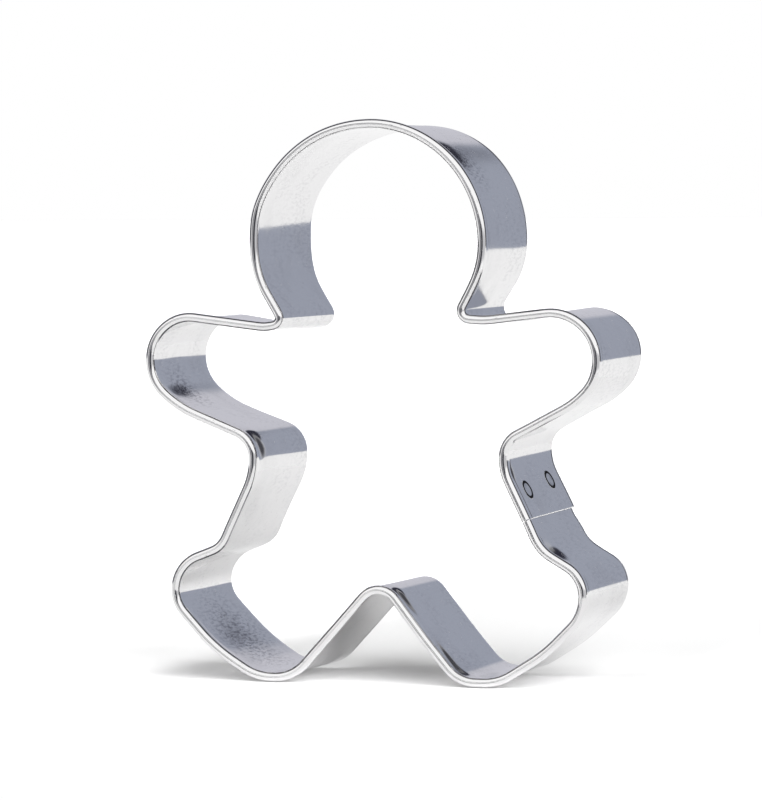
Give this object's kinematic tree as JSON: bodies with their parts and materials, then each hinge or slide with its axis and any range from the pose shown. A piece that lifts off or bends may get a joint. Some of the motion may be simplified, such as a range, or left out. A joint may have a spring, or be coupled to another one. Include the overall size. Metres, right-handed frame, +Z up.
{
  "type": "cookie cutter",
  "caption": "Gingerbread-figure cookie cutter: a strip of sheet steel with a folded rim, bent on edge to the figure's outline, its ends lapped at the waist and spot welded.",
  "frame": {"origin": "centre of the bounding box at the soles of the figure's feet, where the cutter stands on its outline as in the picture", "axes": "+Z up the figure from feet to head, +X to the side of the waist that has the seam, +Y from the folded rim, which faces -Y, to the cutting edge"},
  "size_m": [0.0654, 0.02, 0.0766],
  "materials": {
    "stainless_steel": "bright rolled sheet, smooth, with faint handling scratches",
    "spot_weld": "flat electrode mark, slightly duller than the sheet"
  },
  "bodies": {
    "root": {"cutter_strip": "stainless_steel", "front_spot_weld": "spot_weld", "rear_spot_weld": "spot_weld"}
  },
  "joints": []
}
